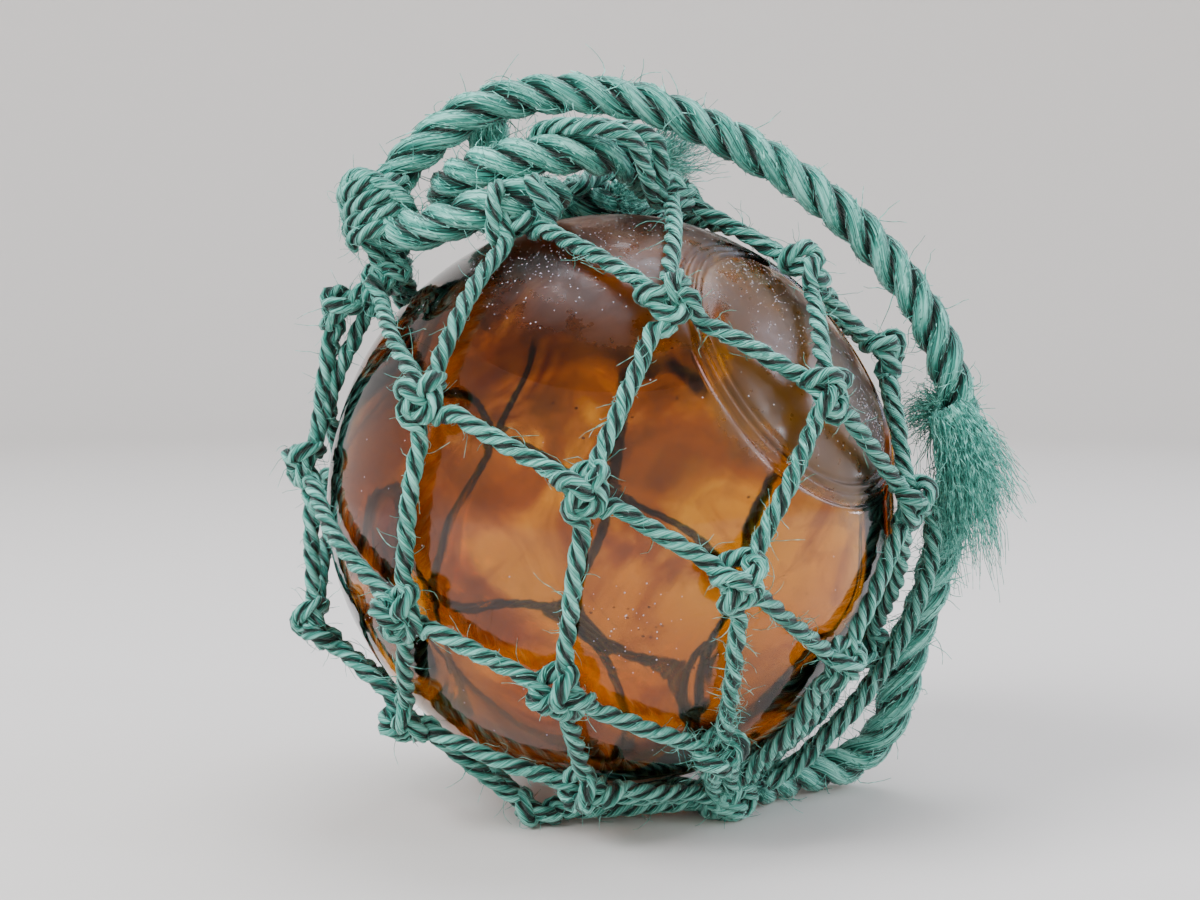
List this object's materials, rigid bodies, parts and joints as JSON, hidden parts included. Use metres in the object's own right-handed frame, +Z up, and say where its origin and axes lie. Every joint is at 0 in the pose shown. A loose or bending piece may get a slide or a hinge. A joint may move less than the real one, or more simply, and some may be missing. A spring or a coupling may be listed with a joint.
{
  "type": "glass float ball",
  "caption": "Amber glass fishing float in a knotted green rope net, with a drawing rope at its top and a rope arch to carry it by.",
  "frame": {"origin": "on the table, under the middle of the box of everything but the carrying rope", "axes": "+Z up, +X to the right of the front view, towards the carrying rope's frayed tuft, -Y towards the viewer"},
  "size_m": [0.2566, 0.2242, 0.2577],
  "materials": {
    "glass": "hand-blown amber glass, with seeds and a purple haze at the seal",
    "net_twine": "weathered three-strand twine",
    "thick_rope": "weathered three-strand rope, frayed at its ends"
  },
  "bodies": {
    "root": {"glass_ball": "glass", "net": "net_twine", "draw_rope": "thick_rope", "carry_rope": "thick_rope", "lashing_twine": "net_twine"}
  },
  "joints": []
}
